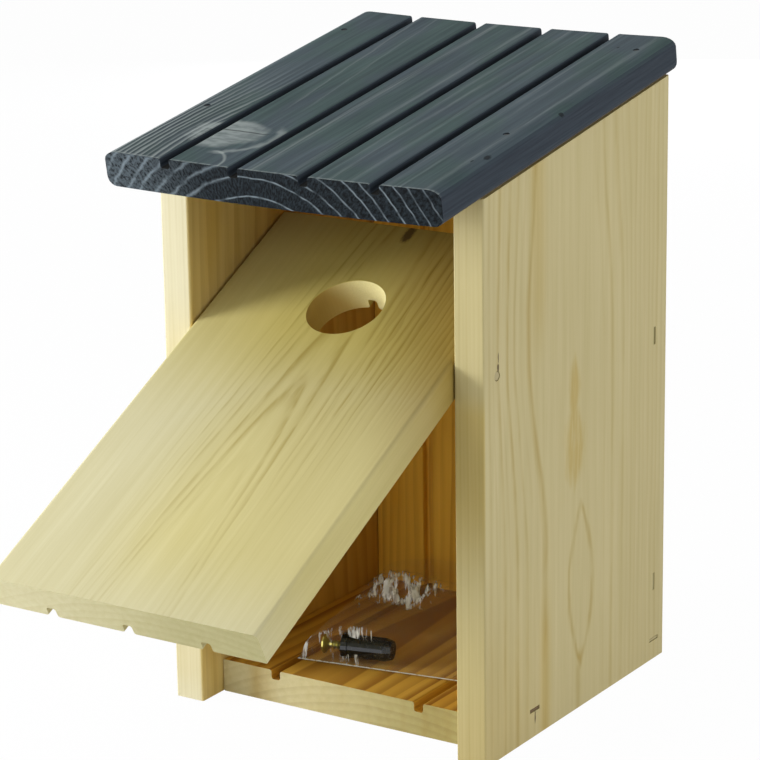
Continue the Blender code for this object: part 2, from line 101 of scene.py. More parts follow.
# Directions that the sloping roof and the open front panel follow
ROOF_SLOPE = math.radians(9.1)
ROOF_ALONG = Vector((0, math.cos(ROOF_SLOPE), math.sin(ROOF_SLOPE)))
ROOF_OUT = Vector((0, -math.sin(ROOF_SLOPE), math.cos(ROOF_SLOPE)))
PANEL_ANGLE = math.radians(63.0)
PANEL_ALONG = Vector((0, math.sin(PANEL_ANGLE), math.cos(PANEL_ANGLE)))
PANEL_OUT = Vector((0, -math.cos(PANEL_ANGLE), math.sin(PANEL_ANGLE)))

# Zero points: the lower edge of the roof's front end, and the lower end of the open panel's outer face
ROOF_FRONT_FOOT = Vector((0, -101.97, 217.44)) * MM
PANEL_FRONT_FOOT = Vector((0, -201.767, 92.821)) * MM

# How the wood's values are written, in millimetres. A span may run either way.
# Sway: wave lengths across and along, reach, seed. Fade: span, then the strengths before and after it.
# Patch: span across, span along, strength. Stripe: its middle and reach, span along, strength.
# Line or ring: place, rise, strength. Mark: places across and along, half width, half length.
# Grain: stretch along the board, scale, detail, roughness. Tones: those at a low and at a high value.
# Wear: counts per millimetre across and along, seed, fade.

# Pine tones: pale early wood, honey glow, brown late wood and how strongly its lines show. The others
# multiply these: painted shade, with the amber of light that the box's own wood throws back, in places
# sheltered by the box and deeper still on the left side; a tone on the long edges, whose lines have their
# own strength; and one on the sawn ends towards the right.
SIDE_TONES = dict(
    pale=srgb(206, 192, 141), honey=srgb(192, 164, 84), late=srgb(172, 142, 56), contrast=0.55,
    painted_shade=(1.0, 0.92, 0.68, 1), edge=(0.88, 0.885, 0.84, 1), edge_lines=0.35, end=(0.85, 0.85, 0.8, 1))
LEFT_TONES = dict(
    pale=srgb(206, 194, 152), honey=srgb(198, 178, 116), late=srgb(164, 136, 76), contrast=0.45,
    painted_shade=(1.16, 1.02, 0.66, 1), deep_shade=(0.98, 0.78, 0.42, 1),
    edge=(1.03, 1.08, 1.2, 1), edge_lines=0.3, end=(0.85, 0.85, 0.8, 1))
PANEL_TONES = dict(
    pale=srgb(208, 200, 156), honey=srgb(204, 189, 104), late=srgb(150, 126, 34), contrast=0.6,
    painted_shade=(0.56, 0.46, 0.34, 1), edge=(1.08, 1.07, 1.02, 1), edge_lines=0.08, end=(0.76, 0.76, 0.64, 1))
BACK_TONES = dict(
    pale=srgb(206, 192, 144), honey=srgb(196, 172, 108), late=srgb(160, 128, 66), contrast=0.5,
    painted_shade=(1.4, 0.96, 0.21, 1), edge=(1, 1, 1, 1), edge_lines=0.35, end=(0.85, 0.85, 0.8, 1))
FLOOR_TONES = dict(
    pale=srgb(200, 188, 140), honey=srgb(186, 160, 96), late=srgb(124, 86, 36), contrast=0.85,
    painted_shade=(1.12, 0.74, 0.2, 1), edge=(1, 1, 1, 1), edge_lines=0.35, end=(0.72, 0.7, 0.5, 1))

# All pine boards
RING_RISE, RING_END = (0.2, 0.88), (1.0, 0.92)
FAINTEST_RING = 0.3
FACING_SPAN = (0.55, 0.85)
PLAIN_SWAY = (14, 90, 5)
PLAIN_GLOW_COUNTS, PLAIN_GLOW_FADE = (0.06, 0.012), (0.45, 0.75, 0.0, 1.0)
EDGE_SWAY = (9, 70, 1.2)
EDGE_LINE_START, EDGE_LINE_SPACING = 40.0, 1.65
END_SWAY = (16, 6, 1.2)
END_RING_CENTRE, END_RING_BOW = 20.0, 0.055
END_RING_START, END_RING_SPACING = 60.0, 3.4
END_LINE_STRENGTH = 0.2
DARK_END_SPAN = (-45, 50)
# Span across the left side over which its painted shade deepens towards the back
DEEP_SHADE_SPAN = (30, 75)
GLOW_STRENGTH = 0.8
PINE_FIBRE = (0.018, 1.7, 3.0, 0.62)
PINE_STREAK = (0.03, 0.35, 2.0, 0.5)
PINE_CLOUD = (0.3, 0.03, 2.0, 0.5)
FIBRE_TONES = ((0.965, 0.96, 0.945, 1), (1.025, 1.025, 1.03, 1))
STREAK_TONES = ((0.945, 0.93, 0.87, 1), (1.035, 1.035, 1.05, 1))
CLOUD_TONES = ((0.96, 0.955, 0.93, 1), (1.03, 1.03, 1.04, 1))
PINE_HEIGHTS = (0.7, 0.4)
PINE_RELIEF = (0.2, 0.15 * MM)
PINE_ROUGHNESS, PINE_SPECULAR = 0.6, 0.2

# Dark marks on the faces: chips, cracks and dents
MARK_TONE, MARK_STRENGTH = srgb(74, 52, 24), 0.85
MARK_SWAY, MARK_RIM = (0.9, 1.6, 0.7), (1.25, 0.6)
MARK_FACE_SPAN = (1.5, 0.8)

# Front panel's figure: the middle of its arches, how deep the trunk's heart lies below its face, how
# that deepens along it, and the rings' distances from the heart
PANEL_ARCH_CENTRE = 5.0
PANEL_HEART_DEPTH = 33.17
PANEL_HEART_LEAN = 0.0244
PANEL_RINGS = ((35.15, 0.3, 0.3), (36.2, 0.4, 1.0), (37.35, 0.6, 1.0), (39.6, 0.6, 0.7), (40.8, 0.5, 0.5),
               (42.9, 0.6, 0.95), (45.2, 0.5, 0.65), (47.2, 0.5, 0.65), (50.2, 0.5, 0.45), (53.2, 0.6, 0.5))
PANEL_SWAYS = ((7, 45, 1.5, 3.1), (5, 13, 0.6, 8.3))
PANEL_WEAR = ((0.25, 0.045), 6.0, (0.36, 0.56, 0.35, 1.0))
PANEL_LEFT_FADE, PANEL_LOW_FADE = (-34, -8, 0.1, 1.0), (20, 120, 0.45, 1.0)
PANEL_FAINTNESS = ((19, 26), (125, 50), 0.75)
PANEL_CROWD_SPACING, PANEL_CROWD = 1.9, ((12, 26), (80, 160), 0.85)
PANEL_LOW_GLOW = ((-42, 5), (-10, 40), 0.62)
PANEL_HIGH_GLOW, PANEL_HIGH_GLOW_FADE = (85, 158), (-60, -15, 0.8, 1.2)
# Painted shade on the open panel: towards its upper right corner, measured along a slant, and along its top
# under the roof
PANEL_CORNER_SLANT = 1.6
PANEL_CORNER_PAINTED_SHADES = ((60, 150, 0.0, 0.12), (160, 255, 0.0, 0.88))
PANEL_TOP_PAINTED_SHADE = (182, 218, 0.0, 0.75)
PANEL_CHIPS = ((3.2, 212.5, 2.2, 5.5),)

# The entrance's wall, with painted light and shade: lit fresh wood the further it lies to the right, up and
# out, and painted shade to the left, low down and towards its rear rim
HOLE_HEIGHT = 166.6
HOLE_RADIUS = 16.0
HOLE_BLUR = 0.4
HOLE_DEPTH_SPAN = (-0.05, -0.4)
HOLE_SHADE_SLANT, HOLE_SHADE_SPAN = (-0.75, -0.65, -0.7), (-6, 9)
HOLE_WALL_LIT, HOLE_WALL_SHADED = srgb(238, 226, 162), srgb(178, 150, 82)
HOLE_FIBRE_TONES = ((0.93, 0.92, 0.88, 1), (1.04, 1.04, 1.04, 1))

# Right side's figure: lines counted from its front edge, in front of the islands and behind them
SIDE_FRONT_LINES = ((4.8, 2.2, 0.45), (9.3, 1.4, 0.3), (14.6, 2.4, 0.95), (18.4, 1.2, 0.3),
                    (24.0, 2.6, 1.0), (31.4, 2.2, 0.6), (37.4, 2.0, 0.25), (46.0, 4.0, 1.0))
SIDE_REAR_LINES = ((92.0, 2.0, 0.2), (99.0, 2.4, 0.6), (107.5, 2.4, 0.55))
SIDE_LINE_FALL = 0.6
SIDE_PINCHES = ((75, 160, 0.0, -0.29), (170, 230, 0.0, 0.11))
SIDE_SWAYS, SIDE_THROUGH_SHARE = ((10, 55, 2.2, 7.7), (5, 14, 0.8, 1.9)), 0.4
SIDE_WEAR = ((0.2, 0.03), 2.0, (0.35, 0.62, 0.4, 1.0))
SIDE_REAR_LEAN = ((125, 95), (150, 240), 8.0)
SIDE_FINE_SPACING, SIDE_FINE_FADE = 3.6, (108, 114, 0.0, 0.4)
SIDE_STEM = ((71.5, 2.2), (22, 16), 0.7)

# Islands: middle, reach and raggedness. Two lobes glow inside, and the low one has an outline and a tip.
ISLAND_WAVES = (3.2, 13)
SIDE_LOBES = ((((68.5, 111), (9.5, 20), 1.0), (1.15, 0.35)), (((68.0, 134), (5.0, 17), 1.0), (1.1, 0.3)))
LOBE_WEAR = ((0.5, 0.05), 9.0, (0.35, 0.6, 0.35, 0.85))
SIDE_LOW_ISLAND = ((73.5, 52), (9.8, 34), 0.3)
ISLAND_OUTLINE, ISLAND_OUTLINE_STRENGTH = (0.97, 0.24), 0.9
ISLAND_TIP = ((1.1, 0.8), (27, 20), 0.9)
SIDE_GLOW_STRIPES = (((40, 9), (140, 180), 0.45), ((45, 7), (70, 30), 0.6))
SIDE_LOW_GLOW = ((60, 5), (90, 0), 0.35)
# Painted shadow of the open panel on the right side's front edge, fading out low down
SIDE_EDGE_PAINTED_SHADOW, SIDE_EDGE_SHADOW_FOOT = ((0.6, 0.2), (150, 138)), (65, 110)
SIDE_CRACKS = ((9.9, 156.5, 0.75, 1.7), (10.1, 160.3, 0.35, 2.2),
               (37.3, 8.0, 0.5, 3.0), (37.2, 11.0, 2.8, 0.6))

# Roof's stain
ROOF_DARK, ROOF_MIDDLE, ROOF_LIGHT = srgb(56, 69, 70), srgb(66, 81, 81), srgb(80, 96, 95)
ROOF_STREAK_STOPS = ((0.3, ROOF_DARK), (0.5, ROOF_MIDDLE), (0.72, ROOF_LIGHT))
ROOF_TINT_STOPS = ((0.4, (0.95, 1.01, 0.95, 1)), (0.6, (1.06, 0.97, 1.08, 1)))
ROOF_STREAK = (0.025, 0.5, 5.0, 0.62)
ROOF_BROAD, ROOF_BROAD_SEED = (0.25, 0.09, 2.0, 0.5), 5.0
ROOF_TINT, ROOF_TINT_SEED = (0.4, 0.07, 2.0, 0.5), 9.0
ROOF_BROAD_TONES = ((0.8, 0.82, 0.84, 1), (1.16, 1.14, 1.12, 1))
ROOF_FIBRE = (0.02, 1.9, 3.0, 0.65)
ROOF_PALE, ROOF_PALE_STRENGTH = srgb(156, 164, 158), 0.8
ROOF_UNDERSIDE, ROOF_UNDERSIDE_SPAN = srgb(122, 96, 58), (3.0, 1.0)
# Painted shade inside the roof's grooves, darkest at their mouths in front
ROOF_GROOVE_SHADE, ROOF_GROOVE_SHADE_STRENGTH = srgb(66, 58, 38), 0.8
ROOF_GROOVES = ((13.4, 12.0), (70, 68))
ROOF_MOUTH_SHADE_SPAN, ROOF_MOUTH_SHADE_STRENGTH = (14, 4), 0.9
ROOF_DENTS = ((72.3, 37.0, 1.0, 2.2), (73.9, 89.0, 0.8, 1.5),
              (58.0, 164.0, 0.5, 1.0), (69.5, 31.0, 0.4, 1.2))
ROOF_DENT_TONE, ROOF_DENT_SPAN = srgb(14, 18, 20), (7.0, 9.0)
ROOF_HEIGHTS = (0.7, 0.4, 0.8)
ROOF_RELIEF = (0.35, 0.2 * MM)
ROOF_ROUGHNESS, ROOF_END_ROUGHNESS, ROOF_SPECULAR = (0.2, 0.58), 0.2, 0.12

# Roof's edges
ROOF_EDGE_STOPS = ((0.3, srgb(42, 49, 56)), (0.7, srgb(57, 65, 72)))
ROOF_EDGE_STRETCH, ROOF_EDGE_SEED = 0.03, 8.0
ROOF_EDGE_STREAK = (1.1, 3.0, 0.6)
ARRIS_SPAN, ARRIS_STREAK_SPAN, ARRIS_STRENGTH = (1.6, 0.2), (0.3, 0.6), 0.6

# Pale lines on the roof's top: wavy beside the knot, slanted behind it, and straight on the other slats
ROOF_SWAYS = ((5, 24, 1.3, 2.2), (3, 7, 0.9, 5.2))
WAVY_PUSH = ((30, 62), (-80, -52), 5.0)
WAVY_START, WAVY_SPACING = 90.0, 2.9
WAVY_RISE, WAVY_PATCH = (0.0, 0.75), ((-49, -51), (125, 25), 0.9)
SLANT, SLANTED_PATCH = 0.085, ((-18, -21), (55, 80), 0.45)
SLANTED_LINES = ((-28.2, 1.2, 0.7), (-20.5, 1.2, 0.5))
STRAIGHT_LINES = ((-7.5, 2.6, 0.9), (9.5, 2.4, 0.7), (22.0, 1.4, 0.5), (27.5, 1.6, 0.6), (36.0, 1.4, 0.5),
                  (52.0, 1.4, 0.5), (57.5, 1.2, 0.4), (68.0, 2.0, 0.6))
STRAIGHT_STREAK_SPAN, STRAIGHT_STRENGTH = (0.35, 0.6), 0.5
BESIDE_KNOT = ((-49, -51), (110, 20))
BESIDE_KNOT_TONES = ((1, 1, 1, 1), (0.72, 0.72, 0.74, 1))

# The knot: an oval of pale wood, a swirl round it, a hook in front of it and a crack across it
KNOT = (-40.0, 34.0)
KNOT_REACH, KNOT_REACH_FADE = 17.0, (33, 35, 18.0, 13.5)
KNOT_SWAY = (5, 9, 0.35, 4.4)
KNOT_RIM, KNOT_MOTTLE_FADE = (1.04, 0.72), (0.35, 0.6, 0.5, 1.1)
KNOT_MOTTLE_SQUEEZE, KNOT_MOTTLE_SEED, KNOT_MOTTLE = 0.35, 7.0, (0.22, 3.0, 0.6)
SWIRL, SWIRL_PATCH = (1.27, 0.15), ((-38, -30), (46, 38), 0.75)
HOOK_CENTRE, HOOK_REACH, HOOK_RAGGEDNESS = (-34.0, 0.0), (11.5, 14.0), 0.3
HOOK = ((1.0, 0.09), (-35, -31), 0.8)
HOOK_SHADE = ((1.0, 0.7), (-42, -36), -0.25)
CRACK_SWAY, CRACK = (6, 30, 2.0, 9.1), (35.6, 0.9)
CRACK_PATCH = ((-49, -46), (-20, -27), 0.85)
CRACK_TONE = srgb(40, 46, 44)

# The roof's sawn ends: rings round a heart below the board, finer to the right, and specks on its rays
ROOF_HEART = (-8.0, -38.5)
ROOF_RINGS = ((41.7, 0.5, 0.9), (49.2, 0.5, 0.85), (54.6, 0.5, 0.8), (60.0, 0.5, 0.75), (66.2, 0.5, 0.9),
              (70.8, 0.5, 0.75), (76.8, 0.5, 0.95), (82.0, 0.5, 0.85), (86.6, 0.5, 0.7), (92.2, 0.5, 0.6))
ROOF_BROAD_RINGS = ((41.7, 0.7, 0.75), (49.2, 1.0, 0.55), (54.6, 1.0, 0.5), (60.0, 1.0, 0.45),
                    (66.2, 1.0, 0.55), (70.8, 1.0, 0.55), (76.8, 1.1, 0.6), (82.0, 1.0, 0.55),
                    (86.6, 0.9, 0.5))
ROOF_END_SWAY, ROOF_END_SHIFT = (9, 5, 1.8, 6.6), (0, -60, 0.0, 1.5)
BROAD_RING_SWAY, BROAD_RING_SPAN = (3, 2, 1.4, 1.2), (-12, -32)
FINE_RING_FALL = 0.8
SPECK_SCALE, SPECK_DETAIL = (0.55, 60.0), (1.0, 3.0, 0.65)
ROOF_END_DARK, ROOF_END_LIGHT, ROOF_END_LINE = srgb(6, 9, 11), srgb(38, 46, 50), srgb(132, 144, 148)
SPECK_STOPS = ((0.4, ROOF_END_DARK), (0.66, ROOF_END_LIGHT))
PALER_END = ((-25, -65), (0.3, 0.6), 0.25)
RING_BREAK_SEED, RING_BREAK, RING_BREAK_SPAN = 3.0, (0.22, 2.0), (0.2, 0.6)

# Finishes of the small parts: a word in their names, then the finish's name, colour, roughness and how
# metallic it is. A later row overrules an earlier one.
SMUDGE_SCALE, SMUDGE_DETAIL, SMUDGE_DEPTH = 900.0, 3.0, 0.2
FINISHES = (
    ("pivot_nail", "nail_head", srgb(184, 168, 120), 0.6, 0.0),
    ("roof_nail", "stained_nail_head", srgb(30, 34, 34), 0.6, 0.3),
    ("staple", "staple_crown", srgb(174, 160, 108), 0.5, 0.3),
    ("back_upper", "olive_staple_crown", srgb(128, 116, 62), 0.5, 0.4),
    ("floor_front", "dark_staple_crown", srgb(104, 80, 42), 0.6, 0.3),
    ("wall_plug", "plug_plastic", srgb(9, 14, 12), 0.25, 0.0),
    ("hanging_screw", "screw_zinc", srgb(176, 168, 92), 0.35, 1.0),
)

# Film bag, in millimetres: its outline on the floor and its front seam
BAG_FRONT_LEFT, BAG_FRONT_RIGHT = Vector((-33.0, -44.0)), Vector((56.0, -29.0))
BAG_REAR_LEFT, BAG_REAR_RIGHT = Vector((-55.7, 56.6)), Vector((56.7, 56.6))
BAG_FOOT_GAP = 0.1
BAG_SEAM_WIDTH = 2.6
BAG_SEAM_HEIGHT = 0.5
BAG_SEAM_RISE = 7.0
FILM_ROWS = 120
FILM_COLUMNS = 130
FILM_UNDER_COLUMNS = 10

# How the film swells: a pillow that is fuller at its mouth, and a bulge along the fixings
BAG_MOUTH_HEIGHT = 14.6
BAG_PILLOW_HEIGHT = 12.4
BAG_SIDE_FULLNESS = 0.3
BAG_BULGE = Vector((-6.6, -31.2))
BAG_BULGE_ANGLE = math.radians(14)
BAG_BULGE_ALONG = Vector((math.cos(BAG_BULGE_ANGLE), math.sin(BAG_BULGE_ANGLE)))
BAG_BULGE_HEIGHT = 14.6
BAG_BULGE_REACH = Vector((34.0, 17.0))

# How the film creases, most of all where it is crumpled behind the fixings
BAG_CREASE_HEIGHT = 0.35
BAG_CRUMPLE_HEIGHT = 2.6
BAG_CRUMPLE_LIFT = 5.5
BAG_CRUMPLE = Vector((-27.0, 22.0))
BAG_CRUMPLE_REACH = Vector((24.0, 14.0))
BAG_CRUMPLE_SLANT = 0.25
BROAD_FACET_WIDTH, BROAD_FACET_SHARE = 5.0, 0.6
FINE_FACET_WIDTH, FINE_FACET_SHARE = 2.6, 0.4
FACET_LENGTH = 3.2
FACET_SEED = 31
FACET_SIDE_SLOPE, FACET_FRONT_SLOPE = 2.5, 1.2
# Facets past this random value take a painted glint
GLINT_FACET_FROM = 0.4

# How much the film whitens, with creases and painted glints: by its facets where it is crumpled, with
# painted glints round the screw, along its rim, and with a painted glint on the front of its sides
CRUMPLE_WHITE_AND_GLINT, BROAD_FACET_GLINT, FINE_FACET_GLINT = 0.6, 0.26, 0.1
SCREW_GLINT, SCREW_GLINT_PLACE, SCREW_GLINT_REACH = 0.58, Vector((-17, -34)), Vector((15, 7))
BAG_RIM = 1.1
SIDE_GLINT, SIDE_GLINT_CROWN, SIDE_GLINT_LENGTH = 0.7, 0.5, 0.12

# Film's surface: its veil, its white strokes of creased film and painted glints that run towards the camera,
# and its gloss
FILM_TONE = srgb(252, 254, 244)
FILM_VEIL, FILM_SLANT_VEIL, FILM_FACING_BLEND = 0.012, 0.05, 0.3
FILM_STROKE_SCALE = (620.0, 95.0, 95.0)
FILM_STROKE_DETAIL, FILM_STROKE_SHARE = (1.0, 3.0, 0.62), 1.9
FILM_STROKE_SPAN, FILM_FOLD_SPAN, FILM_STROKE_WHITE_AND_GLINT = (1.48, 1.9), (0.05, 0.3), 0.97
FILM_RIM_FADE = (0.85, 0.97, 0.0, 0.6)
FILM_WRINKLE, FILM_WRINKLE_HEIGHT = (420.0, 3.0, 0.6), 0.5 * MM
FILM_FOLD_SLOPE = 1.2
FILM_GLOSS = {"Roughness": 0.25, "Specular IOR Level": 1.0, "Sheen Weight": 1.0, "Sheen Roughness": 0.5}


class Graph:
    """Short calls that add nodes to a material or world and link them."""

    def __init__(self, owner):
        owner.use_nodes = True
        self.owner = owner
        self.tree = owner.node_tree
        self.tree.nodes.clear()

    def put(self, value, socket):
        """Link a socket to a socket, or write a plain value on it."""
        if isinstance(value, bpy.types.NodeSocket):
            self.tree.links.new(value, socket)
        else:
            socket.default_value = value

    def add(self, kind, inputs=(), **settings):
        """A node with its settings, and with its inputs given by name or place."""
        made = self.tree.nodes.new("ShaderNode" + kind)
        for key, value in settings.items():
            setattr(made, key, value)
        for key, value in dict(inputs).items():
            self.put(value, made.inputs[key])
        return made

    def math(self, operation, *values):
        return self.add("Math", dict(enumerate(values)), operation=operation).outputs[0]

    def chain(self, operation, values):
        result = values[0]
        for value in values[1:]:
            result = self.math(operation, result, value)
        return result

    def plus(self, *values):
        return self.chain("ADD", values)

    def times(self, *values):
        return self.chain("MULTIPLY", values)

    def most(self, *values):
        return self.chain("MAXIMUM", values)

    def less(self, value, part):
        return self.math("SUBTRACT", value, part)

    def over(self, value, divisor):
        return self.math("DIVIDE", value, divisor)

    def weighed(self, values, shares):
        """Sum of values, each times its share."""
        return self.plus(*[self.times(value, share) for value, share in zip(values, shares)])

    def vector(self, operation, *values):
        return self.add("VectorMath", dict(enumerate(values)), operation=operation).outputs["Vector"]

    def dot(self, first, second):
        return self.add("VectorMath", {0: first, 1: second}, operation="DOT_PRODUCT").outputs["Value"]

    def join(self, x, y, z):
        return self.add("CombineXYZ", {0: x, 1: y, 2: z}).outputs[0]

    def length(self, x, y):
        return self.math("SQRT", self.plus(self.times(x, x), self.times(y, y)))

    def offsets(self, x, y, centre, reach):
        """How far a place lies from a centre each way, as shares of a reach."""
        parts = zip((x, y), centre, reach)
        return [self.over(self.less(value, middle), span) for value, middle, span in parts]

    def noise(self, place, scale, detail=2.0, roughness=0.5):
        inputs = {"Vector": place, "Scale": scale, "Detail": detail, "Roughness": roughness}
        return self.add("TexNoise", inputs).outputs["Fac"]

    def grain(self, across, through, along, stretch, scale, detail, roughness):
        """Noise drawn out along a board: the smaller the stretch, the longer its streaks."""
        return self.noise(self.join(across, through, self.times(along, stretch)), scale, detail, roughness)

    def wear(self, across, along, counts, seed, fade):
        """A strength that comes and goes unevenly over a figure."""
        place = self.join(self.times(across, counts[0]), self.times(along, counts[1]), seed)
        return self.fade(self.noise(place, 1.0), *fade)

    def sway(self, x, y, wave_x, wave_y, reach, seed=0.0):
        """A smooth wander of up to about half the reach each way, over waves of the given lengths."""
        place = self.join(self.over(x, wave_x), self.over(y, wave_y), seed)
        return self.math("MULTIPLY_ADD", self.noise(place, 1.0, 1.0), reach, -reach / 2)

    def sways(self, x, y, places):
        return self.plus(*[self.sway(x, y, *place) for place in places])

    def band(self, value, low, high, smooth=True):
        """0 below low and 1 above high; the two may be given either way round."""
        kind = "SMOOTHSTEP" if smooth else "LINEAR"
        inputs = {"Value": value, "From Min": low, "From Max": high}
        return self.add("MapRange", inputs, interpolation_type=kind).outputs["Result"]

    def hump(self, value, middle, reach):
        """1 at the middle, falling smoothly to 0 at the reach on both sides."""
        return self.band(self.math("ABSOLUTE", self.less(value, middle)), reach, 0.0)

    def fade(self, value, start, end, before, after):
        """One number before a span, another after it, and a smooth change between them."""
        return self.blend(self.band(value, start, end), before, after)

    def patch(self, x, y, span_x, span_y, strength=1.0):
        """A strength past the ends of two spans, falling to 0 before their starts."""
        return self.times(self.band(x, *span_x), self.band(y, *span_y), strength)

    def stripe(self, x, y, hump, span, strength):
        """A strength along the middle of a hump and past the end of a span."""
        return self.times(self.hump(x, *hump), self.band(y, *span), strength)

    def ramp(self, factor, stops):
        made = self.add("ValToRGB", {"Fac": factor})
        elements = made.color_ramp.elements
        elements[0].position, elements[0].color = stops[0]
        elements[-1].position, elements[-1].color = stops[-1]
        for place, colour in stops[1:-1]:
            elements.new(place).color = colour
        return made.outputs["Color"]

    def marks(self, measure, lines, fall=0.35):
        """Lines at places along a measure, each rising slowly and ending sharply, by a share of its rise."""
        low = lines[0][0] - lines[0][1] - 1
        high = lines[-1][0] + lines[-1][1] + 1
        stops = [(0.0, grey(0))]
        for place, rise, strength in lines:
            for edge, value in ((place - rise, 0), (place, strength), (place + rise * fall, 0)):
                stops.append(((edge - low) / (high - low), grey(value)))
        stops.append((1.0, grey(0)))
        return self.ramp(self.band(measure, low, high, smooth=False), stops)

    def rings(self, place, spacing):
        """Late wood at even steps: a slow rise, a sharp end, and a strength of its own for each ring."""
        count = self.over(place, spacing)
        share = self.math("FRACT", count)
        profile = self.times(self.band(share, *RING_RISE), self.band(share, *RING_END))
        whole = self.math("FLOOR", count)
        strength = self.add("TexWhiteNoise", {"W": whole}, noise_dimensions="1D").outputs["Value"]
        return self.times(profile, self.math("MULTIPLY_ADD", strength, 1 - FAINTEST_RING, FAINTEST_RING))

    def mix(self, factor, first, second, blend="MIX"):
        inputs = {"Factor": factor, MIX_COLOURS[0]: first, MIX_COLOURS[1]: second}
        made = self.add("Mix", inputs, data_type="RGBA", blend_type=blend, clamp_factor=True)
        return made.outputs[MIXED_COLOUR]

    def shade(self, factor, colour, tone):
        return self.mix(factor, colour, tone, "MULTIPLY")

    def blend(self, factor, first, second):
        """A number between two others."""
        inputs = {"Factor": factor, MIX_NUMBERS[0]: first, MIX_NUMBERS[1]: second}
        return self.add("Mix", inputs).outputs[0]

    def tone(self, colour, value, low, high):
        """Multiply a colour by a tone that follows a value from 0 to 1."""
        return self.shade(1.0, colour, self.ramp(value, tuple(zip(TONE_SPAN, (low, high)))))

    def bump(self, height, strength, distance):
        inputs = {"Height": height, "Strength": strength, "Distance": distance}
        return self.add("Bump", inputs).outputs["Normal"]

    def finish(self, shader, kind="Material"):
        """Show a shader, and give back the material or world that it belongs to."""
        self.add("Output" + kind, {"Surface": shader.outputs[0]})
        return self.owner

    def surface(self, inputs):
        return self.finish(self.add("BsdfPrincipled", inputs))


def dress(name, material):
    """Give a CAD node its material."""
    for slot in NODES[name].material_slots:
        slot.material = material


class Board:
    """Where a board's wood lies: the zero point of its measures, and its directions."""

    def __init__(self, origin, across, outward, along):
        self.origin = Vector(origin)
        self.axes = (across, outward, along)

    def space(self, graph):
        """Millimetres across the board, through it and along it."""
        place = graph.add("TexCoord").outputs["Object"]
        local = graph.vector("SUBTRACT", place, self.origin)
        scaled = graph.add("VectorMath", {0: local, "Scale": 1 / MM}, operation="SCALE").outputs[0]
        return [graph.dot(scaled, axis) for axis in self.axes]

    def faces(self, graph):
        """1 on the long edges and 0 elsewhere, and the same for the sawn ends."""
        normal = graph.add("TexCoord").outputs["Normal"]
        masks = []
        for axis in (self.axes[0], self.axes[2]):
            facing = graph.math("ABSOLUTE", graph.dot(normal, axis))
            masks.append(graph.band(facing, *FACING_SPAN))
        return masks


def boards():
    """Each board's own directions, with its zero line along the middle of its face or its front edge."""
    right_low, right_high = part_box("right_side")
    left_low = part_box("left_side")[0]
    floor_low, floor_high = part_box("floor_board")
    back_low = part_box("back_board")[0]
    return {
        "roof": Board(ROOF_FRONT_FOOT, X, ROOF_OUT, ROOF_ALONG),
        "right_side": Board((right_high.x, right_low.y, 0), Y, X, Z),
        "left_side": Board((left_low.x, left_low.y, 0), Y, -X, Z),
        "back_board": Board((0, back_low.y, 0), X, -Y, Z),
        "floor_board": Board((0, floor_low.y, floor_high.z), X, Z, Y),
        "front_panel": Board(PANEL_FRONT_FOOT, X, PANEL_OUT, PANEL_ALONG),
    }


def plain_figure(centre, depth, lean, spacing, seed, shade_through):
    """Figure of a board from the side of a trunk, whose heart lies at a centre and a depth, leaning off.

    The last value gives the places through the board where it lies bare and where it takes painted shade
    inside the box.
    """
    def figure(graph, across, through, along):
        wander = graph.sway(across, along, *PLAIN_SWAY, seed)
        below = graph.plus(graph.math("MULTIPLY_ADD", along, lean, depth), through)
        radius = graph.length(graph.plus(across, wander, -centre), below)
        lines = graph.rings(radius, spacing)
        glow = graph.wear(across, along, PLAIN_GLOW_COUNTS, seed, PLAIN_GLOW_FADE)
        # Painted shade on the face that lies inside the box
        return lines, glow, graph.band(through, *shade_through)
    return figure


def panel_figure(graph, across, through, along):
    """One arch below the entrance, and long lines on both sides of it that crowd to the right."""
    wander = graph.sways(across, along, PANEL_SWAYS)
    depth = graph.plus(graph.math("MULTIPLY_ADD", along, PANEL_HEART_LEAN, PANEL_HEART_DEPTH), through)
    radius = graph.length(graph.plus(across, wander, -PANEL_ARCH_CENTRE), depth)
    faint = graph.less(1.0, graph.patch(across, along, *PANEL_FAINTNESS))
    broken = graph.wear(across, along, *PANEL_WEAR)
    left, low = graph.fade(across, *PANEL_LEFT_FADE), graph.fade(along, *PANEL_LOW_FADE)
    rings = graph.times(graph.marks(radius, PANEL_RINGS), left, low, faint, broken)
    crowd = graph.rings(graph.plus(radius, wander), PANEL_CROWD_SPACING)
    lines = graph.plus(rings, graph.times(crowd, graph.patch(across, along, *PANEL_CROWD)))
    low_glow = graph.patch(across, along, *PANEL_LOW_GLOW)
    high_glow = graph.times(graph.band(along, *PANEL_HIGH_GLOW), graph.fade(across, *PANEL_HIGH_GLOW_FADE))
    # Painted shade towards the upper right corner and along the top, under the roof and between the sides
    toward_corner = graph.plus(along, graph.times(across, PANEL_CORNER_SLANT))
    painted_shade = graph.plus(*[graph.fade(toward_corner, *fade) for fade in PANEL_CORNER_PAINTED_SHADES])
    painted_shade = graph.most(painted_shade, graph.fade(along, *PANEL_TOP_PAINTED_SHADE))
    return lines, graph.most(low_glow, high_glow), painted_shade


def island(graph, across, along, centre, reach, raggedness):
    """0 in the middle of a pointed island of figure and 1 on its outline, ragged along the grain."""
    ragged = graph.sway(across, along, *ISLAND_WAVES, raggedness, centre[1])
    u, v = graph.offsets(across, along, centre, reach)
    return graph.plus(graph.math("ABSOLUTE", u), graph.times(v, v), ragged)


def side_glow(graph, across, along):
    """Honey glow in the right side's two lobes, along two stripes and low at its front."""
    lobes = [graph.band(island(graph, across, along, *lobe), *span) for lobe, span in SIDE_LOBES]
    filled = graph.times(graph.most(*lobes), graph.wear(across, along, *LOBE_WEAR))
    stripes = [graph.stripe(across, along, *stripe) for stripe in SIDE_GLOW_STRIPES]
    return graph.plus(filled, *stripes, graph.patch(across, along, *SIDE_LOW_GLOW))


